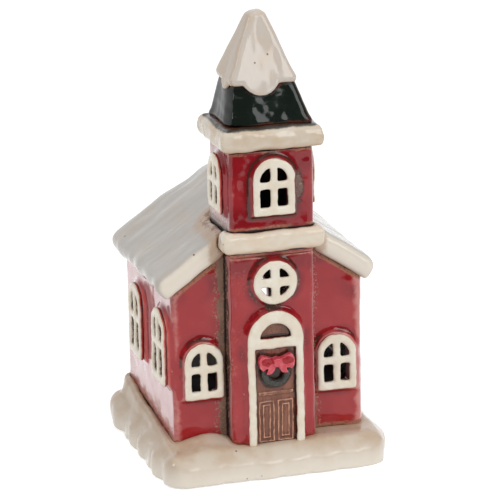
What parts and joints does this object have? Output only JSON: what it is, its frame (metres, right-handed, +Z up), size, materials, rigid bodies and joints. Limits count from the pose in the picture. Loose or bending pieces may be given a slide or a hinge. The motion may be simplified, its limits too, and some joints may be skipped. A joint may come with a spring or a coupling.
{
  "type": "ceramic christmas village house",
  "caption": "Glazed ceramic Christmas village church with a snow roof, tower and spire, pierced windows, and an arched hatch at the back for an LED tealight.",
  "frame": {"origin": "middle of the base's outline on the table", "axes": "+Z up along the spire, -Y out of the front door, +X to the right as seen from the front"},
  "size_m": [0.108, 0.108, 0.2094],
  "materials": {
    "snow_glaze": "glossy cream-white snow glaze",
    "base_glaze": "glossy cream snow glaze with tan shading",
    "red_glaze": "glossy translucent red glaze, thin and brown on edges",
    "green_glaze": "glossy near-black green glaze",
    "window_glaze": "glossy cream glaze",
    "door_glaze": "brown stain under clear glaze",
    "wreath_glaze": "dark green glaze",
    "bow_glaze": "pink-red glaze",
    "tealight_white": "moulded ivory plastic",
    "flame_amber": "translucent amber plastic",
    "led_clear": "clear epoxy",
    "cell_steel": "plated steel",
    "switch_black": "moulded black plastic"
  },
  "bodies": {
    "house": {"snow_base": "base_glaze", "nave_walls": "red_glaze", "porch_walls": "red_glaze", "tower_walls": "red_glaze", "roof_snow_left": "snow_glaze", "roof_snow_right": "snow_glaze", "porch_snow_ledge": "snow_glaze", "tower_snow_crown": "snow_glaze", "spire": "green_glaze", "spire_snow_cap": "snow_glaze", "round_window": "window_glaze", "door_surround": "window_glaze", "fanlight": "door_glaze", "door_leaf": "door_glaze", "wreath": "wreath_glaze", "bow": "bow_glaze", "nave_window_front_left": "window_glaze", "nave_window_front_right": "window_glaze", "nave_window_left_front": "window_glaze", "nave_window_left_rear": "window_glaze", "nave_window_right_front": "window_glaze", "nave_window_right_rear": "window_glaze", "tower_window_front": "window_glaze", "tower_window_left": "window_glaze", "tower_window_right": "window_glaze"},
    "tealight": {"tealight_cup": "tealight_white", "tealight_base_plate": "tealight_white", "tealight_flame": "flame_amber", "tealight_led": "led_clear", "tealight_coin_cell": "cell_steel"},
    "battery_door": {"tealight_battery_door": "tealight_white"},
    "switch": {"tealight_switch": "switch_black"}
  },
  "joints": [
    {"name": "tealight_slide_out", "type": "slide", "parent": "house", "child": "tealight", "axis": [0, 1, 0], "range_m": [0, 0.066]},
    {"name": "battery_door_turn", "type": "hinge", "parent": "tealight", "child": "battery_door", "pos_m": [0, 0.008, 0.034], "axis": [0, 0, 1], "range_deg": [0, 60]},
    {"name": "tealight_switch_slide", "type": "slide", "parent": "tealight", "child": "switch", "axis": [0, 1, 0], "range_m": [0, 0.0024]}
  ]
}
